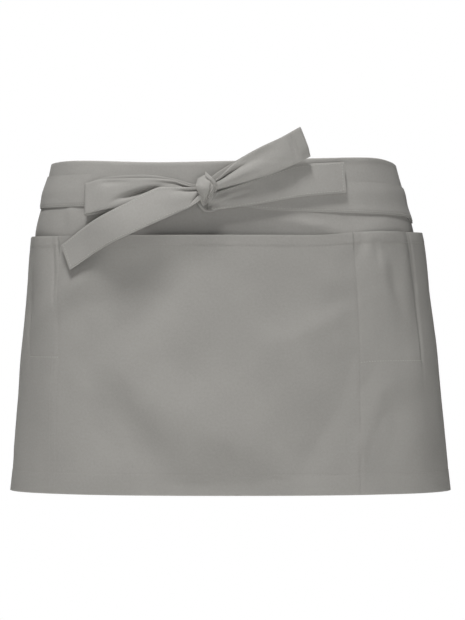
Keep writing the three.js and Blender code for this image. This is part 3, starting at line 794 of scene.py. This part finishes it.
leftTail = {
    "restFrom": 0.64,  # share of the way out from which it lies down
    "tilt": [0, 0.04, 0.06, 0.08, 0.05],  # the lower edge stands off more, in tie widths
    "front": [
        (-0.08, 0.1, -0.1, -0.2, 0.42, 0.02, 0), (-0.5, 0.13, -0.46, -0.46, 0.43, 0.03, 0),
        (-1.32, 0.15, -1.03, -0.72, 0.44, 0.05, 0), (-2.39, -0.32, -2.02, -1.16, 0.54, 0.03, 0),
        (-3.4, -0.82, -3.06, -1.65, 0.46, 0.02, 0), (-4.5, -1.61, -4.21, -2.37, 0.08, 0, 0),
    ],
    "folds": [
        (0.085, 0.05, 0.07, 0.2, -0.17, -6), (0.17, 0.62, 0.12, 0.15, -0.12, 0),
        (0.14, 0.95, 0.14, 0.12, 0.03, 0), (0.3, 0.1, 0.16, 0.45, 0.03, 0),
        (0.47, -0.1, 0.1, 0.7, -0.02, 0), (0.62, 0, 0.12, 0.8, 0.03, 0),
        (0.86, 0.2, 0.08, 0.8, -0.02, 0),
    ],
}

rightTail = {
    "restFrom": 2,  # it hangs free to its end
    "tilt": [-0.03, -0.05, -0.04, -0.01, 0],
    "front": [
        (0.06, -0.1, 0, -0.58, 0.13, 0.01, 0), (0.5, 0.06, 0.45, -0.53, 0.15, 0.02, 0.005),
        (1, 0.22, 0.92, -0.47, 0.16, 0.02, 0.005), (1.8, 0.5, 1.68, -0.36, 0.14, 0.02, 0),
        (3, 0.86, 3, -0.13, 0.1, 0.02, 0), (4.25, 0.955, 4.31, 0, 0.06, 0, 0),
    ],
    "folds": [
        (0, -0.45, 0.06, 0.5, -0.1, 0), (0.1, -0.35, 0.09, 0.3, -0.04, 0),
        (0.2, 0.1, 0.1, 0.25, 0.03, 0), (0.48, 0.3, 0.1, 0.6, -0.02, 0),
        (0.66, 0.4, 0.05, 0.6, -0.02, 0),
    ],
}


def bowPlace(x, z, out, rest=0):
    # rest: share by which the layer lies on the pocket cloth instead of standing off
    width = ties["width"]
    x, z, out = -knot["aside"] + x * width, -knot["drop"] + z * width, bowBase + out * width
    turn = frontTurn(x, z, out)
    if np.any(rest):
        lying = pocketFace(turn * halfAt(z), z) + 0.3 + ties["wall"] / 2
        lying = lying.max(axis=1, keepdims=True) * 0.5 + lying * 0.5
        lying = lying + out - out.min(axis=1, keepdims=True)
        out = out * (1 - rest) + lying * rest
        turn = frontTurn(x, z, out)
    return onBody(turn, z, out)


def layerLines(rows, shares, across, folds=()):
    even = np.linspace(0, 1, len(rows))
    at = {n: smoothCurve(even, [r[k] for r in rows]) for k, n in enumerate(layerColumns)}
    v, share = np.meshgrid(across, shares)
    mix = (v + 1) / 2
    x = at["lowX"](share) * (1 - mix) + at["topX"](share) * mix
    z = at["lowZ"](share) * (1 - mix) + at["topZ"](share) * mix
    out = at["out"](share) + at["crown"](share) * (1 - v * v)
    out = out - at["pleat"](share) * np.cos(3 * math.pi * v)
    for place, level, reach, wide, deep, slope in folds:
        offset = share - place
        out = out + deep * bell(offset, reach) * bell(v - level - slope * offset, wide)
    return x, z, out


def ribbonPiece(name, node, x, z, out, rest=0):
    places = bowPlace(x, z, out, rest)
    along = np.gradient(places, axis=0)
    across = np.gradient(places, axis=1)
    normal = np.cross(along, across)
    normal /= np.linalg.norm(normal, axis=-1, keepdims=True)
    if normal[len(normal) // 5, 0, 1] > 0:
        normal = -normal
    share = np.linspace(-1, 1, places.shape[1])
    half = ties["wall"] / 2 * (1 - 0.55 * np.abs(share) ** 14)[None, :, None]
    outer, inner = places + normal * half, places - normal * half
    length = lengthAlong(places[:, places.shape[1] // 2])
    edge, run = np.meshgrid(share * ties["width"] / 2, length)
    rim = 0.5 * bell(ties["width"] / 2 - np.abs(edge), 0.8)
    obj = clothPiece(name, node, [(outer, inner, np.stack([run, edge], -1), rim)], tieTwill)
    return outer, normal, length


def buildLoop(name, node, loop):
    across = np.linspace(-1, 1, ribbonPoints)
    shares = np.linspace(0.03, 1, 90)
    front = layerLines(loop["front"], shares, across, loop["folds"])
    back = layerLines(loop["back"], shares[::-1], across)
    # round the fold at the far end: half a turn from the front layer to the back one
    ahead = [front[0][-1] - front[0][-4], front[1][-1] - front[1][-4], 0]
    turn = np.linspace(0, math.pi, 16)[1:-1, None]
    mix = (1 - np.cos(turn)) / 2
    push = (front[2][-1] - back[2][0]) / 2 * np.sin(turn) / np.hypot(*ahead[:2])
    x, z, out = (np.concatenate([f, f[-1] * (1 - mix) + b[0] * mix + a * push, b])
                 for f, b, a in zip(front, back, ahead))
    ribbonPiece(name, node, x, z, out)


def buildTail(name, node, tail):
    shares = np.linspace(0.02, 1, 160)
    across = np.linspace(-1, 1, ribbonPoints)
    x, z, out = layerLines(tail["front"], shares, across, tail["folds"])
    tilt = smoothCurve(np.linspace(0, 1, len(tail["tilt"])), tail["tilt"])(shares)
    out = out - tilt[:, None] * across
    rest = ease((shares - tail["restFrom"]) / 0.34)
    rest = np.broadcast_to(rest[:, None], x.shape)
    outer, normal, length = ribbonPiece(name, node, x, z, out,
                                        rest)
    # sewing along both edges and across the end
    inset = 2.0
    low = int(round(inset / ties["width"] * (ribbonPoints - 1)))
    high = ribbonPoints - 1 - low
    end = len(length) - 1 - int(round(inset / (length[-1] / len(length))))
    runs = [(outer[8:end, k], normal[8:end, k], stitch["pitch"]) for k in (low, high)]
    runs.append((outer[end, low:high + 1], normal[end, low:high + 1], stitch["pitch"]))
    # these stitches use the lighter thread copy, a painted highlight
    stitchPiece(name + "Stitches", runs, paintedHighlightThread)


# The knot: bands wound over a core, in mm from its middle (right, up, towards the viewer)

knotBands = {
    # rows: middle x, z, out, width, bulge; creases: place across at the start and at the end,
    # share of the way they run from and to, how wide, depth in mm
    "wrap": {
        "rows": [
            (-4.6, 14.6, 1, 9, 1), (-2.6, 11, 4.6, 15, 2.6), (-1.2, 7.2, 7.2, 18, 3.6),
            (-0.4, 2.6, 8.2, 17.4, 3.8), (-0.4, -2.4, 7.4, 13, 3), (-1, -7.4, 4.6, 8, 1.8),
            (-1.7, -12.6, 0.6, 3.6, 0.6),
        ],
        "creases": [
            (0.72, -0.1, 0.3, 0.95, 0.13, 2.2), (0.98, 0.3, 0.42, 0.95, 0.11, 1.8),
            (0.25, -0.25, 0.42, 1, 0.14, 1), (-0.55, -0.3, 0.6, 1, 0.12, 0.8),
            (-0.9, -0.62, 0.5, 1, 0.1, 1), (-0.2, -0.3, 0.05, 0.35, 0.25, 0.6),
        ],
    },
    "over": {
        "rows": [
            (-0.6, 19, 3, 0.8, 0.1), (1.7, 14.8, 6.8, 3.9, 0.7), (5.2, 11.4, 8.9, 4.2, 1),
            (8.1, 7.6, 8.6, 4, 1), (9.5, 3.6, 6.2, 2.8, 0.7), (8.9, 0, 3, 1.6, 0.3),
        ],
        "creases": [(0.3, 0.2, 0.3, 0.9, 0.2, 0.35)],
    },
    "leftFold": {
        "rows": [
            (-8.6, 3.4, 3.4, 2.4, 0.3), (-6.9, -1.6, 4.6, 2.6, 0.6), (-5.4, -6, 4, 2.6, 0.7),
            (-3.6, -10.4, 2.4, 2.2, 0.5), (-2.2, -14.2, 0.4, 1.6, 0.3),
        ],
    },
    "lowFold": {
        "rows": [
            (-8.8, -7.4, -0.6, 2.4, 0.3), (-7, -10.6, 1, 3, 0.6), (-4.4, -14.4, 1.6, 3, 0.7),
            (-1, -18, 1, 2.6, 0.5), (3.4, -18.6, -0.6, 2.2, 0.3), (9, -17.6, -2.4, 1.6, 0.1),
        ],
    },
}


def knotBand(band, wall=1.3):
    rows = band["rows"]
    share = np.linspace(0, 1, len(rows))
    along = np.linspace(0, 1, 64)
    x, z, out, width, bulge = (smoothCurve(share, [r[k] for r in rows])(along) for k in range(5))
    centre = np.stack([x, z], -1)
    heading = np.gradient(centre, axis=0)
    heading /= np.linalg.norm(heading, axis=1, keepdims=True)
    side = np.stack([-heading[:, 1], heading[:, 0]], -1)
    v = np.linspace(-1, 1, 49)
    flat = centre[:, None] + side[:, None] * (v[None, :, None] * width[:, None, None] / 2)
    rise = out[:, None] + bulge[:, None] * (1 - np.abs(v[None]) ** 2.2)
    for start, end, first, last, wide, deep in band.get("creases", []):
        t = along[:, None]
        run = ease((t - first) / 0.25) * ease((last + 0.05 - t) / 0.1)
        rise = rise - deep * run * bell(v[None] - start - (end - start) * (t - first), wide)
    outer = np.stack([flat[..., 0], -rise, flat[..., 1]], -1)
    thin = wall * (1 - 0.5 * np.abs(v) ** 10)[None, :, None]
    inner = outer + np.array([0, 1, 0]) * thin
    weave = np.stack(np.meshgrid(v * 10, along * 40), -1)
    return outer, inner, weave, 0.25 * bell(1 - np.abs(v), 0.1) * np.ones((len(along), 1))


def knotCore():
    # two domes, front and back, that meet in an edge; mm, and they lean a little
    u, v = np.meshgrid(np.linspace(-1, 1, 33), np.linspace(-1, 1, 33))
    x, z = u * np.sqrt(1 - v * v / 2), v * np.sqrt(1 - u * u / 2)
    dome = np.sqrt(np.clip(1 - x * x - z * z, 0, 1))
    shape = lambda side: np.stack([x * 8.6 - z * 1.2, -side * dome * 6.0 + 1.6,
                                   z * 12.5 + 2.0], -1)
    return shape(1), shape(-1), np.stack([x * 10, z * 16], -1), np.zeros(x.shape)


def buildKnot():
    middle = bowPlace(np.array(0.0), np.array(0.0), knot["out"] / ties["width"])
    walls = [knotCore()] + [knotBand(band) for band in knotBands.values()]
    walls = [(outer + middle, inner + middle, weave, rim) for outer, inner, weave, rim in walls]
    obj = clothPiece("knotCloth", "bow_knot", walls, tieTwill, smoothBelow=60.0)


# Sewing

sewing = {
    "inset": 2.0,  # from the side edges
    "secondRow": 7.0,  # between the two rows of the left seam
    "tackFrom": 1.0, "tackTo": 19.0,  # bar tacks, down from the mouth
    "tackWidth": 0.9, "tackPitch": 1.9, "tackPoints": 60,
}


def panelRun(place, lengths, zs, pitch=None):
    line = place(lengths, zs, 0.0)
    return line, place(lengths, zs, 1.0) - line, pitch or stitch["pitch"]


def onPocket(length, z, lift):
    return onCloth(length, z, pocketFace(length, z) + lift)


def sewPocket():
    lengths = np.linspace(leftEdge + sewing["inset"], rightEdge - sewing["inset"], 500)
    runs = [panelRun(onPocket, lengths, pocketEdge(lengths) - pockets["mouthHem"]),
            panelRun(onPocket, lengths, np.full(len(lengths), hemHeight + pockets["hem"]))]
    top, foot = pocketHeight, hemHeight
    for name, reach in (("leftSeam", foot + 1), ("rightSeam", foot + 1),
                        ("leftEnd", top - pockets["leftDepth"]),
                        ("rightEnd", top - pockets["rightDepth"] + 4)):
        zs = np.linspace(top - 1, reach, 300)
        runs.append(panelRun(onPocket, seamAt(name, top - zs), zs))
    # the left seam is sewn twice below the side pocket
    zs = np.linspace(top - pockets["leftDepth"], foot + 1, 200)
    runs.append(panelRun(onPocket, seamAt("leftSeam", top - zs) - sewing["secondRow"], zs))
    # bar tacks: close zigzags at the top of the two long seams
    count = sewing["tackPoints"]
    for name, lift in (("leftSeam", 0), ("rightSeam", pockets["lift"])):
        zs = np.linspace(top - sewing["tackFrom"], top - sewing["tackTo"], count) + lift
        zigzag = seamAt(name, 10) + sewing["tackWidth"] * np.where(np.arange(count) % 2, 1, -1)
        runs.append(panelRun(onPocket, zigzag, zs, sewing["tackPitch"]))
    stitchPiece("pocketStitches", runs, thread)
    # painted highlight: a lighter copy of the thread for the stitches that stand free of the
    # cloth, along the feet of the side pockets
    runs = []
    for start, end, foot in (("leftEnd", "leftSeam", pockets["leftDepth"]),
                             ("rightSeam", "rightEnd", pockets["rightDepth"])):
        lengths = np.linspace(float(seamAt(start, foot)), float(seamAt(end, foot)), 90)
        runs.append(panelRun(onPocket, lengths, pocketEdge(lengths) - foot))
    stitchPiece("pocketFootStitches", runs, paintedHighlightThread)


buildSkirt()
buildBand()
buildPocket()
print("panels made")
buildTie("tieLeftCloth", "tie_left", -1, leftEdge, rightEdge, leftTieRows)
buildTie("tieRightCloth", "tie_right", 1, rightEdge, leftEdge, rightTieRows)
print("ties made")
buildLoop("loopLeftCloth", "bow_loop_left", leftLoop)
buildLoop("loopRightCloth", "bow_loop_right", rightLoop)
buildTail("tailLeftCloth", "bow_tail_left", leftTail)
buildTail("tailRightCloth", "bow_tail_right", rightTail)
buildKnot()
print("bow made")
sewPocket()
print("sewing made")


# Floor, light and camera

studio = {
    "floorDrop": 0.32, "floorRadius": 1.6,  # m below the hem, and its reach
    "fill": 0.01,
    # name, degrees round to the right, degrees up, m away, m wide, watts
    "lamps": [
        ("key", -25, 72, 3.0, 0.8, 91.0),
        ("front", 5, -10, 3.0, 2.6, 43.0),
        ("right", 60, 10, 3.0, 1.2, 7.0),
        ("left", -70, 10, 3.0, 1.2, 5.0),
        ("back", 181, 35, 3.0, 1.0, 60.0),
    ],
    "aim": -0.12,  # m, the height that they point at
    # the camera: m away, picture height in pixels, m in a pixel
    "distance": 3.5, "pictureHeight": 620, "pixel": 0.001, "sensor": 36,
    "aside": 0.005, "height": -0.1285,
}


def buildStudio():
    bpy.ops.mesh.primitive_circle_add(vertices=96, radius=studio["floorRadius"], fill_type="NGON",
                                      location=(0, 0, hemHeight * 0.001 - studio["floorDrop"]))
    floor = bpy.context.object
    floor.name = "studioFloor"
    paper = bpy.data.materials.new("seamlessPaper")  # white studio paper, dead matt
    paper.use_nodes = True
    shader = paper.node_tree.nodes["Principled BSDF"]
    shader.inputs["Base Color"].default_value = linear("#f4f4f2")
    shader.inputs["Roughness"].default_value = 0.95
    floor.data.materials.append(paper)
    world = bpy.data.worlds.new("studioWhite")
    bpy.context.scene.world = world
    world.use_nodes = True
    tree = world.node_tree
    tree.nodes.clear()
    seen = addNode(tree, "ShaderNodeLightPath")
    lit, white = (addNode(tree, "ShaderNodeBackground", None,
                          {"Color": (1, 1, 1, 1), "Strength": strength})
                  for strength in (studio["fill"], 1.0))
    both = addNode(tree, "ShaderNodeMixShader", None, None,
                   {0: seen.outputs["Is Camera Ray"], 1: lit.outputs[0], 2: white.outputs[0]})
    addNode(tree, "ShaderNodeOutputWorld", links={"Surface": both.outputs[0]})
    aim = Vector((0, 0, studio["aim"]))
    for name, turn, rise, away, size, strength in studio["lamps"]:
        data = bpy.data.lights.new(name + "Light", "AREA")
        data.energy = strength
        data.shape = "DISK"
        data.size = size
        lamp = addObject(name + "Light", data)
        around, up = math.radians(turn), math.radians(rise)
        lamp.location = aim + away * Vector((math.sin(around) * math.cos(up),
                                             -math.cos(around) * math.cos(up), math.sin(up)))
        lamp.rotation_euler = (aim - lamp.location).to_track_quat("-Z", "Y").to_euler()


def buildCamera():
    data = bpy.data.cameras.new("camera")
    data.sensor_width = studio["sensor"]
    pictureTall = studio["pictureHeight"] * studio["pixel"]
    data.lens = studio["sensor"] * studio["distance"] / pictureTall
    data.clip_end = 50
    camera = addObject("camera", data)
    camera.location = (studio["aside"], -studio["distance"], studio["height"])
    camera.rotation_euler = (math.pi / 2, 0, 0)
    bpy.context.scene.camera = camera


buildStudio()
buildCamera()
bpy.context.scene.view_settings.view_transform = "Standard"
print("studio made")
